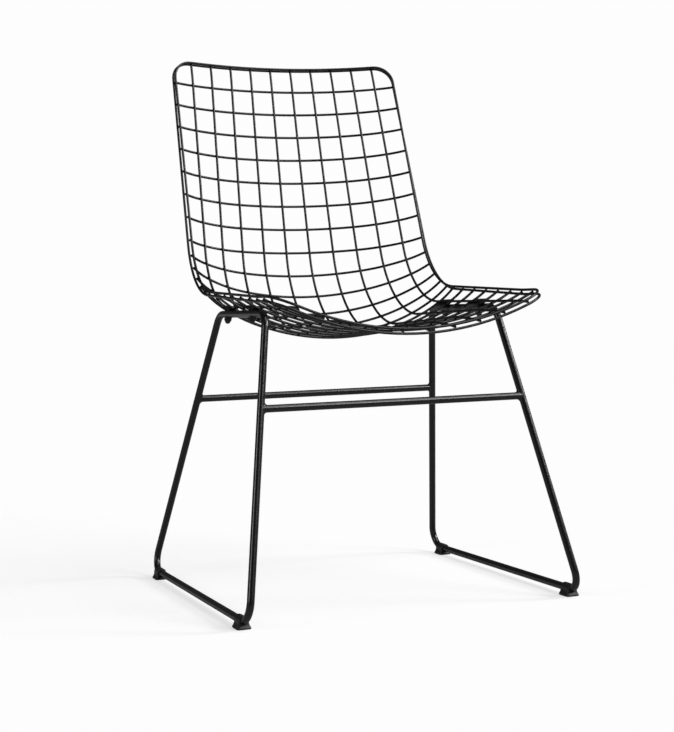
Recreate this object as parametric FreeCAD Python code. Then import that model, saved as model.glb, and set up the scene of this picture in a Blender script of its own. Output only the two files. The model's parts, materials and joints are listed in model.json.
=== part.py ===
import FreeCAD, Part
import math
import os

# Wire mesh chair: a one-piece shell of welded round wire, seat and back in one sweep,
# bolted to two closed side frames of round bar that stand splayed on rails.
# Millimetres. The sitter faces -Y, +Z is up, and the origin lies on the floor
# under the middle of the chair.

V = FreeCAD.Vector
X_AXIS = V(1, 0, 0)

# Bar and wire stock
frame_bar_d = 11.0
mesh_wire_d = 4.0
rim_wire_d = 4.0
weld_sink = 0.4             # how deep two crossing wires melt into each other

# Side frames, on the centre line of the bar
rail_half_width = 258.5     # from the middle plane to a floor rail
seat_bar_half_width = 184.5  # from the middle plane to a bar under the seat
rail_front_y = -265.0       # corners before they are rounded
rail_rear_y = 248.0
seat_bar_front_y = -156.0
seat_bar_rear_y = 68.0
frame_bend_radius = 25.0
seat_bar_gap = 0.3          # free space between a seat bar and the cross wires above it

# Stretchers
stretcher_z = 301.0

# Side profile of the shell on its middle line: corners before they are rounded
back_top_y = 268.0
back_top_z = 855.0
bend_y = 175.0
bend_z = 386.0
lip_y = -197.0
lip_z = 411.0
front_y = -271.0
front_z = 405.5

# How far the rim stands off the middle line at each of those corners, and its half width
back_top_wing_y = -22.0
back_top_wing_z = 7.0
back_top_half_width = 198.0
bend_wing_y = -57.0
bend_wing_z = 87.0
bend_half_width = 210.0
lip_wing_y = 2.0
lip_wing_z = 46.0
lip_half_width = 211.0
front_wing_y = 0.0
front_wing_z = 51.0
front_half_width = 212.0

# Bend radii of the long wires, on the middle line and at the rim
bend_radius_mid = 166.0
bend_radius_rim = 120.0
lip_radius_mid = 140.0
lip_radius_rim = 160.0
top_corner_radius = 32.0
front_corner_radius = 40.0
corner_leg_spare = 1.0      # straight left between a rim corner and the curved end bar

# Mesh
long_wire_count = 10
outer_gap_ratio = 0.93      # gap beside the rim, as a share of the gap between long wires
first_row_distance = 39.3   # along the middle line, from the top rim to the first cross wire
last_row_distance = 39.8    # and from the last cross wire to the front rim
back_row_count = 13
seat_row_pitch = 38.0
seat_row_count = 8
tail_length = 33.0          # end stretch of a wire that leans in between the two rim wires

# Mounts between the mesh and the seat bars
first_mount_row = back_row_count + 1  # each mount lies between this cross wire and the next
mount_row_step = 3
mount_pad_width = 20.0
mount_saddle_depth = 1.2
mount_weld = 0.2
stud_d = 6.0
stud_hole_clearance = 0.4
spot_face_depth = 0.8
washer_d = 12.0
washer_thickness = 1.2
washer_hole_d = 6.4
nut_across_flats = 10.0
nut_hex_height = 4.5
nut_height = 9.2
nut_dome_d = 9.0
nut_thread_depth = 6.5
nut_thread_clearance = 0.1
stud_end_gap = 0.6

# Feet
sole_thickness = 5.5        # from the floor to the underside of a rail
foot_length = 27.0
foot_width = 22.0
foot_edge_height = 2.5
foot_neck_length = 23.0
foot_neck_width = 16.5
foot_collar_wall = 2.3
foot_inset = 3.5            # from the end of the rail's straight run to the middle of the foot

rail_z = sole_thickness + frame_bar_d / 2
wire_lift = (mesh_wire_d - weld_sink) / 2
rim_lift = (mesh_wire_d + rim_wire_d) / 2 - weld_sink
row_count = back_row_count + seat_row_count
mount_rows = {"rear": first_mount_row, "front": first_mount_row + mount_row_step}
side_names = {-1: "left", 1: "right"}

# Steps of the searches and of the differences taken along the mesh
share_step = 0.01           # between two shares that give the direction across
share_search_step = 0.0025
path_sample_step = 0.5

os.makedirs("parts", exist_ok=True)


def save(name, shape):
    """Write one piece to its own file."""
    shape.exportStep("parts/" + name + ".step")


def unit(v):
    """The vector v at length one."""
    return v * (1.0 / v.Length)


def mirrored(v):
    """The vector v mirrored in the middle plane."""
    return V(-v.x, v.y, v.z)


# Paths of straight runs and tangent arcs

def fillet(a, b, c, radius):
    """Start, middle and end of the arc that rounds the corner b between a and c."""
    to_a = unit(a - b)
    to_c = unit(c - b)
    half_angle = to_a.getAngle(to_c) / 2
    setback = radius / math.tan(half_angle)
    bisector = unit(to_a + to_c)
    apex_depth = radius / math.sin(half_angle) - radius
    return b + to_a * setback, b + bisector * apex_depth, b + to_c * setback


def line_edge(a, b):
    """A straight edge from a to b."""
    return Part.LineSegment(a, b).toShape()


def arc_edge(points):
    """The arc through its start, a middle point and its end."""
    return Part.Arc(*points).toShape()


def tangent_arc(start, direction, end):
    """Start, middle and end of the arc that leaves start along direction and meets end."""
    chord = end - start
    heading = unit(direction)
    angle = heading.getAngle(chord)
    sideways = unit(heading - unit(chord) * heading.dot(unit(chord)))
    middle = start + chord * 0.5 + sideways * (chord.Length / 2 * math.tan(angle / 2))
    return start, middle, end


def rounded_run(points, radii):
    """Edges from the first point to the last, with every corner between them rounded."""
    edges = []
    here = points[0]
    for a, b, c, radius in zip(points, points[1:], points[2:], radii):
        rounding = fillet(a, b, c, radius)
        edges.append(line_edge(here, rounding[0]))
        edges.append(arc_edge(rounding))
        here = rounding[2]
    edges.append(line_edge(here, points[-1]))
    return edges


def bar_along(edges, diameter):
    """A solid round bar swept along joined edges."""
    path = Part.Wire(edges)
    first = edges[0]
    start = first.valueAt(first.FirstParameter)
    heading = first.tangentAt(first.FirstParameter)
    section = Part.Wire(Part.makeCircle(diameter / 2, start, heading))
    return path.makePipeShell([section], True, False)


# The shell's middle surface

class Station:
    """One cross section of the shell: a circular arc through the middle line and both rims."""

    def __init__(self, y, z, wing_y, wing_z, half_width):
        wing = V(0, wing_y, wing_z)
        self.middle = V(0, y, z)
        self.rise = wing.Length
        self.up = unit(wing)
        self.half_width = half_width
        self.half_angle = 2 * math.atan(self.rise / half_width)
        self.radius = half_width / math.sin(self.half_angle)

    def point(self, s):
        """Point at the share s of the arc from the middle line, -1 and 1 being the rims."""
        angle = s * self.half_angle
        out = X_AXIS * (self.radius * math.sin(angle))
        return self.middle + out + self.up * (self.radius * (1 - math.cos(angle)))

    def across(self, s):
        """Direction of the arc at the share s."""
        angle = s * self.half_angle
        return X_AXIS * math.cos(angle) + self.up * math.sin(angle)

    def climb(self, s):
        """Height above the middle line at the share s, as a share of the rim's."""
        return (1 - math.cos(s * self.half_angle)) / (1 - math.cos(self.half_angle))


class EndStation(Station):
    """A cross section at an end bar, whose arc runs out in straight legs to the corners."""

    def __init__(self, y, z, wing_y, wing_z, half_width, corner_radius):
        super().__init__(y, z, wing_y, wing_z, half_width)
        leg = corner_radius + corner_leg_spare
        slope = self.rise / (half_width + leg)
        self.apex_depth = 2 * half_width * slope / (1 - slope * slope)
        side = math.hypot(half_width, self.apex_depth)
        self.bar_radius = (side - leg) * half_width / self.apex_depth
        self.apex = self.middle + self.up * (self.rise - self.apex_depth)
        self.leg_start_x = half_width * (1 - leg / side)

    def point(self, s):
        """Point of the end bar that lies as far out as the arc's point at s."""
        x = super().point(s).x
        if abs(x) > self.leg_start_x:
            depth = self.rise - self.apex_depth * (1 - abs(x) / self.half_width)
        else:
            depth = self.bar_radius - math.sqrt(self.bar_radius ** 2 - x * x)
        return self.middle + X_AXIS * x + self.up * depth


top_station = EndStation(back_top_y, back_top_z, back_top_wing_y, back_top_wing_z,
                         back_top_half_width, top_corner_radius)
bend_station = Station(bend_y, bend_z, bend_wing_y, bend_wing_z, bend_half_width)
lip_station = Station(lip_y, lip_z, lip_wing_y, lip_wing_z, lip_half_width)
front_station = EndStation(front_y, front_z, front_wing_y, front_wing_z,
                           front_half_width, front_corner_radius)
stations = (top_station, bend_station, lip_station, front_station)


def bend_radii(s, lift=0.0):
    """Radii of the seat bend and of the lip at the share s, on a surface lifted by lift."""
    bend = bend_radius_mid + (bend_radius_rim - bend_radius_mid) * bend_station.climb(s)
    lip = lip_radius_mid + (lip_radius_rim - lip_radius_mid) * lip_station.climb(s)
    return bend - lift, lip + lift


def lifted(point, across, headings, lift):
    """Move a corner so that the runs on both sides of it lift off the surface by lift."""
    normals = [unit(heading.cross(across)) for heading in headings]
    total = normals[0] + normals[-1]
    return point + total * (lift / (1 + normals[0].dot(normals[-1])))


def profile_corners(s, lift):
    """The four corners of the shell's side profile at the share s, lifted to the sitter."""
    points = [station.point(s) for station in stations]
    runs = [unit(b - a) for a, b in zip(points, points[1:])]
    beside = (runs[:1], runs[:2], runs[1:], runs[2:])
    return [lifted(point, station.across(s), headings, lift)
            for point, station, headings in zip(points, stations, beside)]


class Strand:
    """The side profile of the middle surface at one share s: run, arc, run, arc, run."""

    def __init__(self, s):
        self.edges = rounded_run(profile_corners(s, 0.0), bend_radii(s))

    def at(self, place):
        """Point at a place, given as the edge's number and the share along that edge."""
        edge = self.edges[place[0]]
        return edge.valueAt(edge.getParameterByLength(place[1] * edge.Length))

    def heading(self, place):
        """Direction at a place, from the top towards the front."""
        edge = self.edges[place[0]]
        return edge.tangentAt(edge.getParameterByLength(place[1] * edge.Length))

    def place(self, distance):
        """The place that lies at a distance along the strand from the top."""
        for number, edge in enumerate(self.edges):
            if distance <= edge.Length:
                return number, distance / edge.Length
            distance -= edge.Length
        return len(self.edges) - 1, 1.0


middle_strand = Strand(0.0)
rim_strands = {-1: Strand(-1.0), 1: Strand(1.0)}
shell_length = sum(edge.Length for edge in middle_strand.edges)
seat_start_distance = shell_length - last_row_distance - seat_row_count * seat_row_pitch
back_row_pitch = (seat_start_distance - first_row_distance) / (back_row_count - 1)


def row_distance(row):
    """Distance of a cross wire from the top rim along the middle line; a half lies between two."""
    beyond_back = row - back_row_count
    pitch = seat_row_pitch if beyond_back > 0 else back_row_pitch
    return seat_start_distance + beyond_back * pitch


def surface_frame(s, place):
    """Point, direction along, direction across and normal of the middle surface."""
    strand = Strand(s)
    point = strand.at(place)
    along = strand.heading(place)
    across = unit(Strand(s + share_step).at(place) - Strand(s - share_step).at(place))
    normal = unit(along.cross(across))
    return point, along, across, normal


wire_shares = [(number - (long_wire_count - 1) / 2)
               / ((long_wire_count - 1) / 2 + outer_gap_ratio)
               for number in range(long_wire_count)]
outer_share = wire_shares[-1]
flank_share = wire_shares[-3]


# Mesh wires

def long_wire_path(s):
    """From the top rim to the front rim, on the sitter's side of the mesh."""
    corners = profile_corners(s, wire_lift)
    top_run = unit(corners[1] - corners[0])
    front_run = unit(corners[2] - corners[3])
    top_knee = corners[0] + top_run * tail_length
    front_knee = corners[3] + front_run * tail_length
    edges = rounded_run([top_knee, corners[1], corners[2], front_knee], bend_radii(s, wire_lift))
    top_tail = tangent_arc(top_knee, top_run * -1, top_station.point(s))
    front_tail = tangent_arc(front_knee, front_run * -1, front_station.point(s))
    return [arc_edge(top_tail[::-1])] + edges + [arc_edge(front_tail)]


def cross_wire_path(row):
    """From rim to rim under the long wires: tail, flank arc, middle arc, flank arc, tail."""
    place = middle_strand.place(row_distance(row))
    stops = []
    for share in (flank_share, outer_share):
        point, along, across, normal = surface_frame(share, place)
        stops.append(point - normal * wire_lift)
    stops.append(rim_strands[1].at(place))
    middle = middle_strand.at(place) - middle_strand.heading(place).cross(X_AXIS) * wire_lift
    edges = [arc_edge((mirrored(stops[0]), middle, stops[0]))]
    for start, end in zip(stops, stops[1:]):
        heading = edges[-1].tangentAt(edges[-1].LastParameter)
        arc = tangent_arc(start, heading, end)
        edges.append(arc_edge(arc))
        edges.insert(0, arc_edge([mirrored(point) for point in arc[::-1]]))
    return edges


# Rim: two closed wires, one on each face of the mesh

def rim_half_path(lift):
    """The right half of a rim wire, from the top to the front, lifted off the surface."""
    corners = profile_corners(1.0, lift)
    runs = [unit(b - a) for a, b in zip(corners, corners[1:])]
    apexes = []
    for station, heading in ((top_station, runs[0]), (front_station, runs[-1])):
        leg = unit(station.point(1.0) - station.apex)
        normal = unit(heading.cross(leg))
        total = normal + mirrored(normal)
        apexes.append(station.apex + total * (lift / (1 + normal.dot(mirrored(normal)))))
    ends = (fillet(mirrored(corners[0]), apexes[0], corners[0], top_station.bar_radius - lift),
            fillet(corners[-1], apexes[1], mirrored(corners[-1]),
                   front_station.bar_radius - lift))
    top_middle, top_leg_start = ends[0][1], ends[0][2]
    front_leg_end, front_middle = ends[1][0], ends[1][1]
    bend, lip = bend_radii(1.0, lift)
    sides = rounded_run([top_leg_start] + corners + [front_leg_end],
                        (top_corner_radius, bend, lip, front_corner_radius))
    top_half = arc_edge(tangent_arc(top_middle, X_AXIS, top_leg_start))
    front_leg = front_leg_end - corners[-1]
    front_half = arc_edge(tangent_arc(front_leg_end, front_leg, front_middle))
    return [top_half] + sides + [front_half]


def rim_wire(lift):
    """A closed rim wire, swept as two halves that meet in the middle plane."""
    half = bar_along(rim_half_path(lift), rim_wire_d)
    return half.fuse(half.mirror(V(0, 0, 0), X_AXIS)).removeSplitter()


# Side frames

def seat_bar_height(wire_paths):
    """Highest centre line of a seat bar that leaves its gap under every cross wire."""
    reach = (frame_bar_d + mesh_wire_d) / 2 + seat_bar_gap
    front_y = seat_bar_front_y + frame_bend_radius / 2
    rear_y = seat_bar_rear_y - frame_bend_radius / 2
    heights = []
    for edges in wire_paths:
        for edge in edges:
            for point in edge.discretize(int(edge.Length / path_sample_step) + 2):
                sideways = point.x - seat_bar_half_width
                if front_y < point.y < rear_y and abs(sideways) < reach:
                    heights.append(point.z - math.sqrt(reach ** 2 - sideways ** 2))
    return min(heights)


cross_wire_paths = {row: cross_wire_path(row) for row in range(1, row_count + 1)}
seat_bar_z = seat_bar_height(cross_wire_paths.values())


def frame_point(side, y, z):
    """A point in the splayed plane of the side frame on side -1 (left) or 1 (right)."""
    share = (z - rail_z) / (seat_bar_z - rail_z)
    x = rail_half_width + (seat_bar_half_width - rail_half_width) * share
    return V(side * x, y, z)


def frame_corners(side):
    """Rail front, seat bar front, seat bar rear and rail rear corner of a side frame."""
    return (frame_point(side, rail_front_y, rail_z),
            frame_point(side, seat_bar_front_y, seat_bar_z),
            frame_point(side, seat_bar_rear_y, seat_bar_z),
            frame_point(side, rail_rear_y, rail_z))


def frame_up(side):
    """Direction up the plane of a side frame, square to its rail."""
    return unit(frame_point(side, 0, seat_bar_z) - frame_point(side, 0, rail_z))


def stud_axis_point(side, row):
    """Where the stud of a mount crosses the centre line of the seat bar."""
    place = middle_strand.place(row_distance(row + 0.5))
    return V(side * seat_bar_half_width, rim_strands[side].at(place).y, seat_bar_z)


def side_frame(side):
    """A closed frame of round bar, drilled and spot faced for the studs."""
    corners = frame_corners(side)
    rail_middle = (corners[0] + corners[3]) * 0.5
    bar_middle = (corners[1] + corners[2]) * 0.5
    radii = (frame_bend_radius, frame_bend_radius)
    front = bar_along(rounded_run([rail_middle, corners[0], corners[1], bar_middle], radii),
                      frame_bar_d)
    rear = bar_along(rounded_run([bar_middle, corners[2], corners[3], rail_middle], radii),
                     frame_bar_d)
    frame = front.fuse(rear).removeSplitter()
    up = frame_up(side)
    for row in mount_rows.values():
        centre = stud_axis_point(side, row)
        hole_radius = (stud_d + stud_hole_clearance) / 2
        hole = Part.makeCylinder(hole_radius, 2 * frame_bar_d, centre - up * frame_bar_d, up)
        face_level = frame_bar_d / 2 - spot_face_depth
        spot = Part.makeCylinder(washer_d / 2 + stud_hole_clearance, frame_bar_d,
                                 centre - up * face_level, up * -1)
        frame = frame.cut(hole.fuse(spot))
    return frame


def stretcher(front):
    """A straight bar between two legs, coped to their round."""
    ends = []
    legs = []
    for side in (-1, 1):
        corners = frame_corners(side)
        low, high = (corners[0], corners[1]) if front else (corners[3], corners[2])
        leg = high - low
        ends.append(low + leg * ((stretcher_z - low.z) / leg.z))
        legs.append(Part.makeCylinder(frame_bar_d / 2, leg.Length, low, leg))
    span = ends[1] - ends[0]
    bar = Part.makeCylinder(frame_bar_d / 2, span.Length, ends[0], span)
    return bar.cut(legs[0]).cut(legs[1])


# Mounts

def nearest_share(side, place):
    """The share of the outer half of the mesh that lies nearest to the seat bar at a place."""
    steps = int(1 / (2 * share_search_step))
    shares = [side * (1 - step * share_search_step) for step in range(1, steps)]

    def distance(s):
        point = Strand(s).at(place)
        return math.hypot(point.x - side * seat_bar_half_width, point.z - seat_bar_z)

    return min(shares, key=distance)


def mount(side, row, frame):
    """A pad welded between two cross wires, saddled on the seat bar, with a stud through it."""
    place = middle_strand.place(row_distance(row + 0.5))
    share = nearest_share(side, place)
    across = surface_frame(share, place)[2]
    ends = []
    for wire_row in (row, row + 1):
        wire_place = middle_strand.place(row_distance(wire_row))
        point, wire_along, wire_across, wire_normal = surface_frame(share, wire_place)
        ends.append(point - wire_normal * wire_lift)
    along = unit(ends[1] - ends[0])
    normal = unit(along.cross(across))
    length = (ends[1] - ends[0]).Length - mesh_wire_d + 2 * mount_weld
    centre = (ends[0] + ends[1]) * 0.5 + normal * wire_lift
    bar_centre = V(side * seat_bar_half_width, centre.y, seat_bar_z)
    depth = (centre - bar_centre).Length - frame_bar_d / 2 + mount_saddle_depth
    pad = Part.makeBox(mount_pad_width, length, depth)
    matrix = FreeCAD.Matrix(across.x, -along.x, normal.x, 0,
                            across.y, -along.y, normal.y, 0,
                            across.z, -along.z, normal.z, 0,
                            0, 0, 0, 1)
    pad.transformShape(matrix)
    corner = (centre - across * (mount_pad_width / 2) + along * (length / 2)
              - normal * depth)
    pad.translate(corner)
    pad = pad.cut(frame)
    up = frame_up(side)
    axis_point = stud_axis_point(side, row)
    stud_top = frame_bar_d / 2 + mount_saddle_depth
    stud_bottom = (frame_bar_d / 2 - spot_face_depth + washer_thickness + nut_thread_depth
                   - stud_end_gap)
    stud = Part.makeCylinder(stud_d / 2, stud_top + stud_bottom,
                             axis_point - up * stud_bottom, up)
    return pad.fuse(stud).removeSplitter()


def washer(side, row):
    """A flat washer on the spot face under a seat bar."""
    up = frame_up(side)
    seat = stud_axis_point(side, row) - up * (frame_bar_d / 2 - spot_face_depth)
    ring = Part.makeCylinder(washer_d / 2, washer_thickness, seat, up * -1)
    return ring.cut(Part.makeCylinder(washer_hole_d / 2, washer_thickness, seat, up * -1))


def cap_nut(side, row):
    """A domed hexagon nut that closes over the end of a stud."""
    up = frame_up(side)
    down = up * -1
    seat_level = frame_bar_d / 2 - spot_face_depth + washer_thickness
    seat = stud_axis_point(side, row) - up * seat_level
    ahead = V(0, 1, 0)
    aside = ahead.cross(down)
    corner_radius = nut_across_flats / math.sqrt(3)
    outline = []
    for corner in range(6):
        angle = corner * math.pi / 3
        outline.append(seat + (ahead * math.cos(angle) + aside * math.sin(angle)) * corner_radius)
    hexagon = Part.Face(Part.makePolygon(outline + outline[:1])).extrude(down * nut_hex_height)
    dome_radius = nut_dome_d / 2
    sleeve = Part.makeCylinder(dome_radius, nut_height - dome_radius, seat, down)
    dome = Part.makeSphere(dome_radius, seat + down * (nut_height - dome_radius))
    bore = Part.makeCylinder((stud_d + nut_thread_clearance) / 2, nut_thread_depth, seat, down)
    return hexagon.fuse([sleeve, dome]).removeSplitter().cut(bore)


# Feet

def rectangle(centre, width, length):
    """A level rectangle of wire round a centre."""
    corners = [centre + V(sx * width / 2, sy * length / 2, 0)
               for sx, sy in ((-1, -1), (1, -1), (1, 1), (-1, 1))]
    return Part.makePolygon(corners + corners[:1])


def foot(side, front, frame):
    """A plastic glide: a flared sole with a collar that grips the rail."""
    corners = frame_corners(side)
    if front:
        run_end = fillet(corners[3], corners[0], corners[1], frame_bend_radius)[0]
        y = run_end.y + foot_inset
    else:
        run_end = fillet(corners[0], corners[3], corners[2], frame_bend_radius)[0]
        y = run_end.y - foot_inset
    x = side * rail_half_width
    sole = Part.Face(rectangle(V(x, y, 0), foot_width, foot_length))
    plate = sole.extrude(V(0, 0, foot_edge_height))
    neck = Part.makeLoft([rectangle(V(x, y, foot_edge_height), foot_width, foot_length),
                          rectangle(V(x, y, rail_z), foot_neck_width, foot_neck_length)],
                         True, True)
    collar = Part.makeCylinder(frame_bar_d / 2 + foot_collar_wall, foot_neck_length,
                               V(x, y - foot_neck_length / 2, rail_z), V(0, 1, 0))
    return plate.fuse([neck, collar]).removeSplitter().cut(frame)


# Build and write every piece

save("rim_wire_inner", rim_wire(rim_lift))
save("rim_wire_outer", rim_wire(-rim_lift))

for number, share in enumerate(wire_shares, 1):
    save("long_wire_%02d" % number, bar_along(long_wire_path(share), mesh_wire_d))

for row, path in cross_wire_paths.items():
    save("cross_wire_%02d" % row, bar_along(path, mesh_wire_d))

side_frames = {side: side_frame(side) for side in side_names}
for side, side_name in side_names.items():
    frame = side_frames[side]
    save("side_frame_" + side_name, frame)
    for end_name, row in mount_rows.items():
        place_name = "_%s_%s" % (end_name, side_name)
        save("seat_mount" + place_name, mount(side, row, frame))
        save("washer" + place_name, washer(side, row))
        save("cap_nut" + place_name, cap_nut(side, row))
    save("foot_front_" + side_name, foot(side, True, frame))
    save("foot_rear_" + side_name, foot(side, False, frame))

save("stretcher_front", stretcher(True))
save("stretcher_rear", stretcher(False))
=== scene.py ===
import json
import math

import bpy
import numpy as np
from mathutils import Matrix, Vector


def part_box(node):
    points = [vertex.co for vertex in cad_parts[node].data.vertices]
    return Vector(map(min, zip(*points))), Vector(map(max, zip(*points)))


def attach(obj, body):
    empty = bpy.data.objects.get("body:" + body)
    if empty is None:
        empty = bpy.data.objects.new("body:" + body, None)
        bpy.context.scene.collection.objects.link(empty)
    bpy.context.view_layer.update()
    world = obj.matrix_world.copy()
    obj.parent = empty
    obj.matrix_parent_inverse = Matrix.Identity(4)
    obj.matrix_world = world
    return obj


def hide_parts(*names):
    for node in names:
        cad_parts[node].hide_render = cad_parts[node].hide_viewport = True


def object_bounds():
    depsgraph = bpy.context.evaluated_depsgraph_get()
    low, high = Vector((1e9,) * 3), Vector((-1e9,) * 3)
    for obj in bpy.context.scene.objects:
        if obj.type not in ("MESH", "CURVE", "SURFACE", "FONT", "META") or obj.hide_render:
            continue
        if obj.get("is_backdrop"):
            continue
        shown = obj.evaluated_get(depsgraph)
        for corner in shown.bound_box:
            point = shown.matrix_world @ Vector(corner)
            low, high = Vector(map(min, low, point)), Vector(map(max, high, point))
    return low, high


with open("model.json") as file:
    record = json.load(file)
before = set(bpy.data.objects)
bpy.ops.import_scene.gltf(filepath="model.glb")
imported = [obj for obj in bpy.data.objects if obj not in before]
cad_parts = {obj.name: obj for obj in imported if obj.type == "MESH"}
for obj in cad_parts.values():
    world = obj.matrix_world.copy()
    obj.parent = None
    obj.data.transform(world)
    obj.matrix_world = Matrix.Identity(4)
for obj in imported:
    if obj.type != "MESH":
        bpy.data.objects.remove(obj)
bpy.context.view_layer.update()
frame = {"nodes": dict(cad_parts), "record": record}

# Wire mesh chair: black powder coated mesh shell on two side frames of round bar.
# Metres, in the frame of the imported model. The sitter faces -Y and +Z is up. Left and right
# are as the photo shows them, so left is -X and the sitter's right.

nodes = frame["nodes"]

# Sizes that the added pieces share with the solids
bar_radius = 0.0055
rail_half_width = 0.2585
seat_bar_half_width = 0.1845
rail_height = 0.011
seat_bar_height = 0.43624
leg_ends_y = {"front": (-0.265, -0.156), "rear": (0.248, 0.068)}
stretcher_height = 0.301
collar_radius = 0.0078

SIDES = {"left": -1, "right": 1}
ENDS = ("front", "rear")

# The studio: the backdrop's level for the camera, its share in reflections, the level of the
# dome that lights the chair, and the floor's own grey
backdrop_level = 0.984
reflected_share = 0.05
dome_level = 0.03
floor_level = 0.42


# Shader graphs

class Socket:
    """An output of a shader node, with arithmetic that adds Math nodes."""

    def __init__(self, graph, output):
        self.graph = graph
        self.output = output

    def maths(self, operation, *values):
        """A Math node of this operation on sockets or numbers."""
        inputs = dict(enumerate(values))
        return self.graph.add("ShaderNodeMath", {"operation": operation}, inputs)

    def __add__(self, other):
        return self.maths("ADD", self, other)

    def __mul__(self, other):
        return self.maths("MULTIPLY", self, other)

    __radd__ = __add__
    __rmul__ = __mul__


class Graph:
    """The nodes of one material or of the world."""

    def __init__(self, tree):
        self.tree = tree
        tree.nodes.clear()

    def add(self, kind, settings=None, inputs=None, output=0):
        """A new node: its settings first, then the values or links of its sockets.

        The setting "stops" fills a ramp with greys, each a position and a level.
        """
        node = self.tree.nodes.new(kind)
        for name, value in (settings or {}).items():
            if name == "stops":
                ramp = node.color_ramp.elements
                while len(ramp) < len(value):
                    ramp.new(1.0)
                for stop, (position, level) in zip(ramp, value):
                    stop.position = position
                    stop.color = (level, level, level, 1.0)
            else:
                setattr(node, name, value)
        for name, value in (inputs or {}).items():
            if isinstance(value, Socket):
                self.tree.links.new(value.output, node.inputs[name])
            else:
                node.inputs[name].default_value = value
        return Socket(self, node.outputs[output]) if node.outputs else None

    def place(self):
        """Object coordinates."""
        return self.add("ShaderNodeTexCoord", output="Object")

    def split(self, vector, axis):
        """One component of a vector."""
        return self.add("ShaderNodeSeparateXYZ", None, {0: vector}, output=axis)

    def noise(self, place, scale, detail=2.0, roughness=0.5):
        """Soft noise from 0 to 1, with its lumps about 1/scale metres apart."""
        return self.add("ShaderNodeTexNoise", None,
                        {"Vector": place, "Scale": scale, "Detail": detail,
                         "Roughness": roughness}, output="Fac")

    def ramp(self, value, *stops):
        """A grey ramp through stops of position and level."""
        return self.add("ShaderNodeValToRGB", {"stops": stops}, {"Fac": value})

    def blend(self, factor, first, second):
        """Two colours mixed by a factor."""
        return self.add("ShaderNodeMix", {"data_type": "RGBA"},
                        {0: factor, 6: first, 7: second}, output=2)

    def bump(self, height, distance):
        """A bumped normal: a height of 1 stands out by the distance, in metres."""
        return self.add("ShaderNodeBump", None, {"Height": height, "Distance": distance})

    def backdrop_share(self):
        """How much of the white backdrop a ray sees: all of it from the camera and through
        clear things, and a share in reflections, as in a studio that is white on one side.
        """
        rays = "ShaderNodeLightPath"
        return (self.add(rays, output="Is Camera Ray")
                + self.add(rays, output="Is Transmission Ray")
                + self.add(rays, output="Is Glossy Ray") * reflected_share)

    def surface(self, inputs):
        """A Principled surface that goes to the output."""
        shader = self.add("ShaderNodeBsdfPrincipled", None, inputs)
        self.add("ShaderNodeOutputMaterial", None, {"Surface": shader})


def grey(level, tint=0.0):
    """A grey of a linear level, a little cooler with a positive tint."""
    return (level * (1 - tint), level, level * (1 + tint), 1.0)


def material(name):
    """A new material and its empty graph."""
    made = bpy.data.materials.new(name)
    made.use_nodes = True
    return made, Graph(made.node_tree)


# Finishes

def powder_coat(name, level, dullness, shine, orange_peel):
    """Black powder coat: pitted like orange peel, with hazy patches, and dust and a painted
    sheen on what faces up.

    Lumps of the peel lie about 1.4 mm apart, of the grain 0.4 mm, of the haze 36 mm and of the
    handled patches 110 mm. Haze and grain average a half, so half of their shares comes off
    the dullness, and only the dust and painted sheen add to it.
    """
    haze_share, grain_share, dust_and_sheen_share = 0.12, 0.06, 0.12
    made, graph = material(name)
    place = graph.place()
    peel = graph.noise(place, 700.0, 3.0, 0.55)
    grain = graph.noise(place, 2600.0, 2.0)
    haze = graph.noise(place, 28.0, 4.0)
    handled = graph.noise(place, 9.0, 2.0)
    facing = graph.add("ShaderNodeNewGeometry", output="Normal")
    # What faces up is made lighter and rougher: dust, with a painted sheen of light from above
    upward = graph.ramp(graph.split(facing, 2), (0.35, 0.0), (1.0, 1.0))
    dust_and_sheen = graph.ramp(haze * 0.6 + grain * 0.4, (0.42, 0.0), (0.66, 1.0)) * upward * 0.5
    shade = graph.blend(handled, grey(level * 0.85, 0.02), grey(level * 1.2, 0.02))
    # The up-facing dust and painted sheen lighten the colour here
    colour = graph.blend(dust_and_sheen, shade, grey(level * 2.6, -0.02))
    roughness = (haze * haze_share + grain * grain_share + dust_and_sheen * dust_and_sheen_share
                 + (dullness - (haze_share + grain_share) / 2))
    graph.surface({
        "Base Color": colour,
        "Roughness": roughness,
        "Specular IOR Level": shine,
        "Normal": graph.bump(peel * 0.7 + grain * 0.3, orange_peel),
    })
    return made


def blackened_steel(name):
    """Black coated fixings: smoother than powder coat, worn to a dull grey here and there."""
    made, graph = material(name)
    place = graph.place()
    grain = graph.noise(place, 1800.0, 3.0)
    patches = graph.noise(place, 260.0, 3.0)
    worn = graph.ramp(patches, (0.56, 0.0), (0.7, 1.0))
    graph.surface({
        "Base Color": graph.blend(worn, grey(0.008, 0.03), grey(0.03, 0.03)),
        "Roughness": grain * 0.14 + worn * 0.1 + 0.24,
        "Metallic": worn * 0.5,
        "Normal": graph.bump(grain, 0.00002),
    })
    return made


def glide_plastic(name):
    """Black moulded plastic: finely sparked skin, scuffed pale grey in its lowest 4 mm."""
    made, graph = material(name)
    place = graph.place()
    spark = graph.noise(place, 1500.0, 2.0, 0.6)
    smear = graph.noise(place, 90.0, 3.0)
    low = graph.add("ShaderNodeMapRange", None,
                    {"Value": graph.split(place, 2), "From Min": 0.0, "From Max": 0.004,
                     "To Min": 1.0, "To Max": 0.0})
    scuff = low * graph.ramp(smear * 0.7 + spark * 0.3, (0.42, 0.0), (0.62, 1.0))
    graph.surface({
        "Base Color": graph.blend(scuff, grey(0.009), grey(0.05, -0.03)),
        "Roughness": spark * 0.16 + scuff * 0.15 + 0.38,
        "Normal": graph.bump(spark, 0.00005),
    })
    return made


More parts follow.
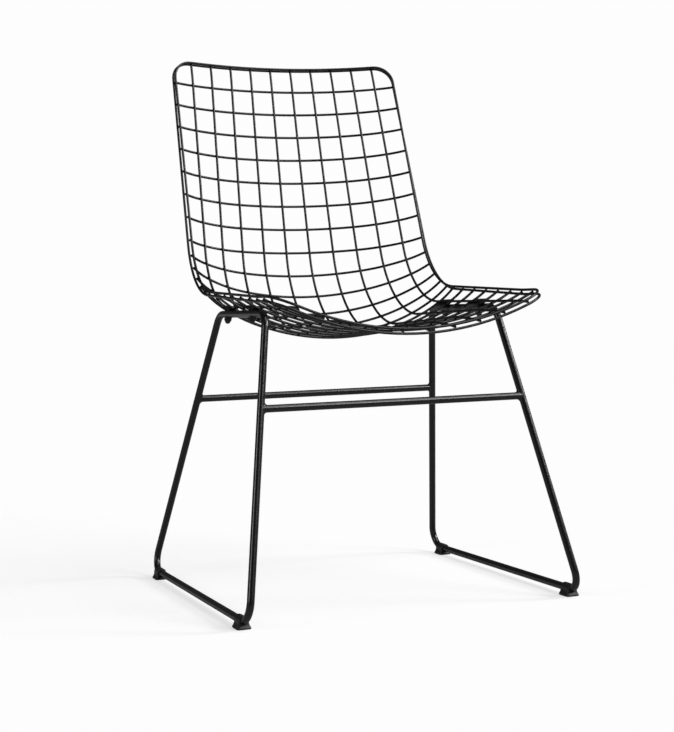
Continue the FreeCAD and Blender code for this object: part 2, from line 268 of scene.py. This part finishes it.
mesh_coat = powder_coat("black_powder_coat_wire", level=0.0021, dullness=0.36, shine=0.36,
                        orange_peel=0.00003)
bar_coat = powder_coat("black_powder_coat_bar", level=0.0021, dullness=0.27, shine=0.5,
                       orange_peel=0.00003)
pad_coat = powder_coat("black_powder_coat_pads", level=0.003, dullness=0.36, shine=0.4,
                       orange_peel=0.00004)
weld_coat = powder_coat("black_powder_coat_welds", level=0.003, dullness=0.32, shine=0.5,
                        orange_peel=0.00006)
fixing_finish = blackened_steel("blackened_steel_fixings")
glide_finish = glide_plastic("black_glide_plastic")

finishes = {
    "mesh_wire": mesh_coat,
    "frame_bar": bar_coat,
    "seat_mount": pad_coat,
    "fixing": fixing_finish,
    "glide": glide_finish,
}
for part in frame["record"]["subparts"]:
    for holder in nodes[part["node"]].material_slots:
        holder.material = finishes[part["material_slot"]]


# Surfaces on a grid

crease_angle = math.radians(50)


def surface_piece(name, rings, finish, closed_along=False):
    """A mesh from a stack of rings of points, or from many equal stacks.

    Each ring is closed, and a stack's ends close in a fan, or meet where it is closed along.
    """
    rings = np.asarray(rings, dtype=float)
    rings = rings.reshape((-1,) + rings.shape[-3:])
    stacks, count, around = rings.shape[:3]
    index = np.arange(count * around).reshape(count, around)
    if closed_along:
        index = np.vstack((index, index[:1]))
    onward = np.roll(index, -1, axis=1)
    quads = np.stack((index[:-1], onward[:-1], onward[1:], index[1:]), axis=-1).reshape(-1, 4)
    points = rings.reshape(stacks, -1, 3)
    fans = np.empty((0, 3), dtype=int)
    if not closed_along:
        first = np.full(around, points.shape[1])
        points = np.concatenate((points, rings[:, :1].mean(axis=2), rings[:, -1:].mean(axis=2)),
                                axis=1)
        fans = np.vstack((np.stack((first, onward[0], index[0]), axis=-1),
                          np.stack((first + 1, index[-1], onward[-1]), axis=-1)))
    shift = np.arange(stacks)[:, None, None] * points.shape[1]
    faces = (quads + shift).reshape(-1, 4).tolist() + (fans + shift).reshape(-1, 3).tolist()
    mesh = bpy.data.meshes.new(name)
    mesh.from_pydata(points.reshape(-1, 3).tolist(), [], faces)
    mesh.polygons.foreach_set("use_smooth", np.ones(len(mesh.polygons), dtype=bool))
    mesh.set_sharp_from_angle(angle=crease_angle)
    mesh.materials.append(finish)
    mesh.update()
    piece = bpy.data.objects.new(name, mesh)
    bpy.context.scene.collection.objects.link(piece)
    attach(piece, "root")
    return piece


def unit(vectors):
    """Vectors divided by their lengths."""
    return vectors / np.linalg.norm(vectors, axis=-1, keepdims=True)


# The shell's middle surface, from the sizes of the solids

# From the top of the back to the front edge: middle y and z, how far the rim stands off it in
# y and z, and the half width there
shell_stations = np.array((
    (0.268, 0.855, -0.022, 0.007, 0.198),
    (0.175, 0.386, -0.057, 0.087, 0.210),
    (-0.197, 0.411, 0.002, 0.046, 0.211),
    (-0.271, 0.4055, 0.0, 0.051, 0.212),
))
# Straight legs of the rim's end bars, by station
end_bar_legs = {0: 0.033, 3: 0.041}
# Radii of the seat bend and of the lip, in the middle and at the rim
bend_radii = ((0.166, 0.120), (0.140, 0.160))

# Long wires one gap apart, and the last ones a little less than that from the rim
long_wires, rim_gap = 10, 0.93
outermost = (long_wires - 1) / 2
wire_shares = (np.arange(long_wires) - outermost) / (outermost + rim_gap)

# Cross wires: the first and last row's distance from the ends, and the seat's pitch
first_row, last_row, seat_pitch = 0.0393, 0.0398, 0.038
back_rows, seat_rows = 13, 8


def station_points(number, shares):
    """Points of a cross section at shares of its arc, from -1 at one rim to 1 at the other.

    With the rise v of the rim over the middle and the half width w, the arc's half angle is
    h = 2 atan(v / w) and its radius r = w / sin h, so a share s lies r sin(s h) aside and
    r (1 - cos(s h)) up. At an end bar the height is that of a flatter arc with straight legs.
    The second result is how far each point has climbed, from 0 in the middle to 1 at the rim.
    """
    y, z, wing_y, wing_z, half_width = shell_stations[number]
    rise = math.hypot(wing_y, wing_z)
    half_angle = 2 * math.atan(rise / half_width)
    radius = half_width / math.sin(half_angle)
    x = radius * np.sin(shares * half_angle)
    height = radius * (1 - np.cos(shares * half_angle))
    if number in end_bar_legs:
        leg = end_bar_legs[number]
        slope = rise / (half_width + leg)
        apex = 2 * half_width * slope / (1 - slope ** 2)
        side = math.hypot(half_width, apex)
        bar_round = (side - leg) * half_width / apex
        flat = np.minimum(np.abs(x), half_width * (1 - leg / side))
        height = np.where(np.abs(x) > flat, rise - apex * (1 - np.abs(x) / half_width),
                          bar_round - np.sqrt(bar_round ** 2 - flat ** 2))
    up = np.array((0.0, wing_y, wing_z)) / rise
    climb = (1 - np.cos(shares * half_angle)) / (1 - math.cos(half_angle))
    return np.array((0.0, y, z)) + x[:, None] * (1.0, 0.0, 0.0) + height[:, None] * up, climb


def straight(start, end):
    """An edge that runs straight: start + f * (end - start), with one heading."""
    length = np.linalg.norm(end - start, axis=-1)
    return length, lambda f: (start + (end - start) * f, unit(end - start))


def round_turn(centre, radius, heading, inward, turn):
    """An edge that is an arc, whose heading t turns inward, towards n, by the angle a.

    Its points are centre + r (t sin(f a) - n cos(f a)), headed t cos(f a) + n sin(f a).
    """
    def at(f):
        cosine, sine = np.cos(f * turn), np.sin(f * turn)
        return (centre + radius * (heading * sine - inward * cosine),
                heading * cosine + inward * sine)
    return (radius * turn)[:, 0], at


def strand_edges(shares):
    """Each share's side profile as five edges: run, bend, run, lip, run.

    An edge is its length, and a function from a part f of it to points and headings. A bend
    rounds the corner between two runs, with a radius that goes from the middle's to the rim's
    as the cross section climbs.
    """
    sections = [station_points(number, shares) for number in range(len(shell_stations))]
    corners = [points for points, climb in sections]
    edges = []
    here = corners[0]
    for number, (middle, rim) in zip((1, 2), bend_radii):
        a, b, c = corners[number - 1:number + 2]
        radius = (middle + (rim - middle) * sections[number][1])[:, None]
        to_a, to_c = unit(a - b), unit(c - b)
        half = np.arccos((to_a * to_c).sum(axis=-1, keepdims=True)) / 2
        start = b + to_a * radius / np.tan(half)
        centre = b + unit(to_a + to_c) * radius / np.sin(half)
        edges.append(straight(here, start))
        edges.append(round_turn(centre, radius, -to_a, unit(centre - start), math.pi - 2 * half))
        here = b + to_c * radius / np.tan(half)
    edges.append(straight(here, corners[-1]))
    return edges


def crossing_frames(shares):
    """Place, direction along, across and normal of every crossing, row by row.

    Rows lie at fixed distances along the middle strand, and each strand carries a row at the
    same part of the same edge. Across goes from a strand just to one side to one just to the
    other, and the normal is along x across.
    """
    middle = [float(length[0]) for length, at in strand_edges(np.zeros(1))]
    seat_start = sum(middle) - last_row - seat_rows * seat_pitch
    distances = np.concatenate((np.linspace(first_row, seat_start, back_rows),
                                seat_start + seat_pitch * np.arange(1, seat_rows + 1)))
    aside = 0.01
    strands = [strand_edges(shares + nudge) for nudge in (0.0, aside, -aside)]
    ends = np.cumsum(middle)
    rows = []
    for distance in distances:
        number = int(np.searchsorted(ends, distance))
        part = 1 - (ends[number] - distance) / middle[number]
        (place, along), (ahead, _), (behind, _) = [edges[number][1](part) for edges in strands]
        across = unit(ahead - behind)
        rows.append(np.stack((place, along, across, unit(np.cross(along, across))), axis=1))
    return np.concatenate(rows)


# Weld nuggets where the mesh wires cross

nugget_radius = 0.0018
nugget_swell = 0.0007
nugget_rise = 0.0013
nugget_tilts = (-62.0, -30.0, 0.0, 30.0, 62.0)
nugget_sides = 12


def nugget_rings():
    """Rings of every nugget, between its two wires.

    At the angle a round the normal and the tilt b it stands r cos b out and k sin b up, where
    k is the rise and r = radius + swell * sin(2a)^2, so that it swells in the four corners of
    the crossing.
    """
    place, along, across, normal = crossing_frames(wire_shares).swapaxes(0, 1)[:, :, None, None]
    around = np.linspace(0.0, 2 * math.pi, nugget_sides, endpoint=False)
    tilt = np.radians(nugget_tilts)[:, None]
    reach = (nugget_radius + nugget_swell * np.sin(2 * around) ** 2) * np.cos(tilt)
    height = nugget_rise * np.sin(tilt) + 0.0 * around
    return (place + (reach * np.cos(around))[..., None] * along
            + (reach * np.sin(around))[..., None] * across + height[..., None] * normal)


surface_piece("mesh_welds", nugget_rings(), mesh_coat)


# Weld fillets between the stretchers and the legs

fillet_width = 0.0046
least_width = 0.0002
ripples, ripple_share = 9, 0.07
fillet_sides, fillet_steps = 72, 14
# How far the two buried rings lie inside the bead, and how far towards the leg
leg_ring_depth, bar_ring_depth, buried_shift = 0.0008, 0.0012, 0.0015


def leg_line(side, end):
    """Foot and top of a leg's centre line, from the rail's corner to the seat bar's."""
    rail_y, bar_y = leg_ends_y[end]
    return (np.array((side * rail_half_width, rail_y, rail_height)),
            np.array((side * seat_bar_half_width, bar_y, seat_bar_height)))


def weld_rings(side, end):
    """Rings round a stretcher's end, each one step of a quarter circle from bar to leg.

    At the angle a round the stretcher the fillet has the width w = f |sin a|^3, where f is the
    fillet width, so it is widest above and below and dies out where the two bars are flush.
    Its profile leaves the bar at w from the leg and meets the leg at w from the bar, and w
    shrinks and swells a little with a sine of the angle, as a bead laid by hand does. Two
    buried rings close it.
    """
    low, high = leg_line(side, end)
    along = (high - low) / np.linalg.norm(high - low)
    inward = np.array((-side, 0.0, 0.0))
    start = low + (high - low) * (stretcher_height - low[2]) / (high[2] - low[2])
    across = np.cross(along, inward)
    across /= np.linalg.norm(across)
    upward = np.cross(inward, across)
    around = np.linspace(0.0, 2 * math.pi, fillet_sides, endpoint=False)
    ripple = 1 + ripple_share * np.sin(ripples * around)
    width = fillet_width * np.abs(np.sin(around)) ** 3 * ripple + least_width
    turn = np.linspace(0.0, math.pi / 2, fillet_steps)[:, None]
    reach = bar_radius + width * (1 - np.cos(turn))
    gap = width * (1 - np.sin(turn))
    reach = np.vstack((reach, reach[-1:] - leg_ring_depth, reach[:1] - bar_ring_depth))
    gap = np.vstack((gap, gap[-1:] - buried_shift, gap[:1] - buried_shift))
    radial = np.cos(around)[:, None] * across + np.sin(around)[:, None] * upward
    base = start + reach[..., None] * radial
    # Along the ray base + t * inward, the leg's round is met where the distance to its axis
    # is its radius: the larger root of a quadratic in t.
    offset = base - low
    offset_square = offset - (offset @ along)[..., None] * along
    ray_square = inward - (inward @ along) * along
    a = ray_square @ ray_square
    b = offset_square @ ray_square
    c = (offset_square ** 2).sum(axis=-1) - bar_radius ** 2
    meet = (-b + np.sqrt(np.maximum(b * b - a * c, 0.0))) / a
    return base + (meet + gap)[..., None] * inward


for side_name, side in SIDES.items():
    for end in ENDS:
        rings = weld_rings(side, end)
        # On the right the rings go round the other way, so that the faces point outwards
        if side > 0:
            rings = rings[:, ::-1]
        surface_piece("weld_%s_%s" % (end, side_name), rings, weld_coat,
                      closed_along=True)


# Glides

# Height, half width and half length of the sole, from the floor up
sole_profile = np.array((
    (0.0, 0.0101, 0.0126),
    (0.0004, 0.0106, 0.0131),
    (0.0010, 0.01092, 0.01342),
    (0.0022, 0.011, 0.0135),
    (0.0028, 0.0108, 0.0133),
))
flare_power, flare_steps = 1.7, 8
# How far below the rail's centre line the flare ends
neck_drop = 0.001
collar_half_length = 0.0115
ridge_angle, collar_steps = 88.0, 15
# The ends draw in by the inset while the sine of the collar's angle goes through the span
ridge_start, ridge_span, ridge_inset = 0.9, 0.1, 0.0004
sole_squareness, collar_squareness = 7.0, 12.0
glide_sides = 96


def glide_rings(centre_x, centre_y):
    """Rings of a glide from the floor up to the ridge of its collar.

    Each ring is a rounded rectangle |x/w|^n + |y/l|^n = 1 at its own height. The half width w
    and half length l follow a profile of height: a bevelled sole, a concave flare up to the
    neck, and a collar whose half width is that of a circle round the rail's centre line. The
    collar's ends draw in a little along its ridge. The squareness n grows up the flare.
    """
    sole_top, sole_half_width, sole_half_length = sole_profile[-1]
    rise = np.linspace(0.0, 1.0, flare_steps + 1)[1:]
    flare = (1 - rise) ** flare_power
    neck = np.stack((sole_top + rise * (rail_height - sole_top - neck_drop),
                     collar_radius + (sole_half_width - collar_radius) * flare,
                     collar_half_length + (sole_half_length - collar_half_length) * flare),
                    axis=1)
    angle = np.radians(np.linspace(0.0, ridge_angle, collar_steps))
    ridge = np.clip((np.sin(angle) - ridge_start) / ridge_span, 0.0, 1.0)
    collar = np.stack((rail_height + collar_radius * np.sin(angle),
                       collar_radius * np.cos(angle),
                       collar_half_length - ridge_inset * ridge), axis=1)
    height, half_width, half_length = np.vstack((sole_profile, neck, collar)).T[..., None]
    squareness = np.concatenate((np.full(len(sole_profile), sole_squareness),
                                 sole_squareness + rise * (collar_squareness - sole_squareness),
                                 np.full(len(collar), collar_squareness)))
    power = 2.0 / squareness[:, None]
    turn = np.linspace(0.0, 2 * math.pi, glide_sides, endpoint=False)
    cosine, sine = np.cos(turn), np.sin(turn)
    x = half_width * np.sign(cosine) * np.abs(cosine) ** power
    y = half_length * np.sign(sine) * np.abs(sine) ** power
    return np.stack((x + centre_x, y + centre_y, height + 0.0 * turn), axis=-1)


for side_name in SIDES:
    for end in ENDS:
        node_name = "foot_%s_%s" % (end, side_name)
        low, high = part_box(node_name)
        centre = [(a + b) / 2 for a, b in zip(low, high)]
        glide = surface_piece("glide_%s_%s" % (end, side_name),
                              glide_rings(centre[0], centre[1]), glide_finish)
        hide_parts(node_name)


# Stage

def stage_plane(name, half_side, finish):
    """A level square at floor height, which is no part of the chair."""
    mesh = bpy.data.meshes.new(name)
    corners = [(x * half_side, y * half_side, 0.0)
               for x, y in ((-1, -1), (1, -1), (1, 1), (-1, 1))]
    mesh.from_pydata(corners, [], [(0, 1, 2, 3)])
    mesh.materials.append(finish)
    plane = bpy.data.objects.new(name, mesh)
    bpy.context.scene.collection.objects.link(plane)
    plane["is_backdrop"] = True


def light_from(azimuth, elevation):
    """The way light travels from a lamp at an azimuth and an elevation in degrees.

    The azimuth is 0 in front of the sitter and turns to the photo's left.
    """
    azimuth, elevation = math.radians(azimuth), math.radians(elevation)
    return Vector((math.sin(azimuth) * math.cos(elevation),
                   math.cos(azimuth) * math.cos(elevation), -math.sin(elevation)))


# Strength, spread in degrees and direction
suns = {
    "top_sun": (1.0, 30.0, light_from(-52.0, 62.0)),
    "key_sun": (1.3, 20.0, light_from(-32.0, 34.0)),
    "left_sun": (0.6, 18.0, light_from(78.0, 22.0)),
    "right_sun": (1.7, 14.0, light_from(-71.0, 26.0)),
}
# What the matt floor gives back of the light on it, so that only the rest of the backdrop's
# level has to be added for the camera
floor_light = sum(-way.z * strength for strength, spread, way in suns.values()) / math.pi
lit_floor = floor_level * (dome_level + floor_light)


def pale_floor(name):
    """A matt floor that the camera sees near white, with only its shade left grey."""
    made, graph = material(name)
    seen = graph.backdrop_share()
    matt = graph.add("ShaderNodeBsdfDiffuse", None, {"Color": grey(floor_level)})
    glow = graph.add("ShaderNodeEmission", None,
                     {"Color": grey(1.0), "Strength": seen * (backdrop_level - lit_floor)})
    total = graph.add("ShaderNodeAddShader", None, {0: matt, 1: glow})
    graph.add("ShaderNodeOutputMaterial", None, {"Surface": total})
    return made


def pale_world():
    """An even dome for the light, near white where the camera looks at it."""
    world = bpy.data.worlds.new("studio")
    world.use_nodes = True
    graph = Graph(world.node_tree)
    seen = graph.backdrop_share()
    backdrop = graph.add("ShaderNodeBackground", None,
                         {"Color": grey(1.0),
                          "Strength": dome_level + seen * (backdrop_level - dome_level)})
    graph.add("ShaderNodeOutputWorld", None, {"Surface": backdrop})
    bpy.context.scene.world = world


def add_sun(name, strength, spread, way):
    """A sun whose light travels along a way, softened over a spread in degrees."""
    lamp = bpy.data.lights.new(name, "SUN")
    lamp.energy = strength
    lamp.angle = math.radians(spread)
    holder = bpy.data.objects.new(name, lamp)
    holder.rotation_euler = way.to_track_quat("-Z", "Y").to_euler()
    bpy.context.scene.collection.objects.link(holder)


# The photo's view, as fitted to it
camera_place = (-0.89591, -2.22716, 0.44271)
camera_yaw, camera_pitch, camera_roll = 19.0628, 2.1553, -1.6736
focal_length, sensor_width, frame_shift = 74.665, 36.0, 0.0915
farthest_seen = 100.0
floor_half_side = 40.0


def add_camera():
    """The photo's view: a long lens, a little above the seat, from the sitter's right.

    The yaw turns from +Y to +X, the pitch looks down, and the roll turns right towards up.
    """
    yaw, pitch, roll = (math.radians(a) for a in (camera_yaw, camera_pitch, camera_roll))
    forward = Vector((math.sin(yaw) * math.cos(pitch), math.cos(yaw) * math.cos(pitch),
                      -math.sin(pitch)))
    level = Vector((math.cos(yaw), -math.sin(yaw), 0.0))
    above = level.cross(forward)
    right = level * math.cos(roll) + above * math.sin(roll)
    up = above * math.cos(roll) - level * math.sin(roll)
    turn = Matrix((right, up, -forward)).transposed().to_4x4()
    lens = bpy.data.cameras.new("photo_camera")
    lens.lens = focal_length
    lens.sensor_width = sensor_width
    lens.shift_x = frame_shift
    lens.clip_end = farthest_seen
    camera = bpy.data.objects.new("photo_camera", lens)
    camera.matrix_world = Matrix.Translation(camera_place) @ turn
    bpy.context.scene.collection.objects.link(camera)
    bpy.context.scene.camera = camera


stage_plane("floor", floor_half_side, pale_floor("pale_floor"))
pale_world()
for sun_name, (strength, spread, way) in suns.items():
    add_sun(sun_name, strength, spread, way)
add_camera()
bpy.context.scene.view_settings.view_transform = "Standard"

low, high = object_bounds()
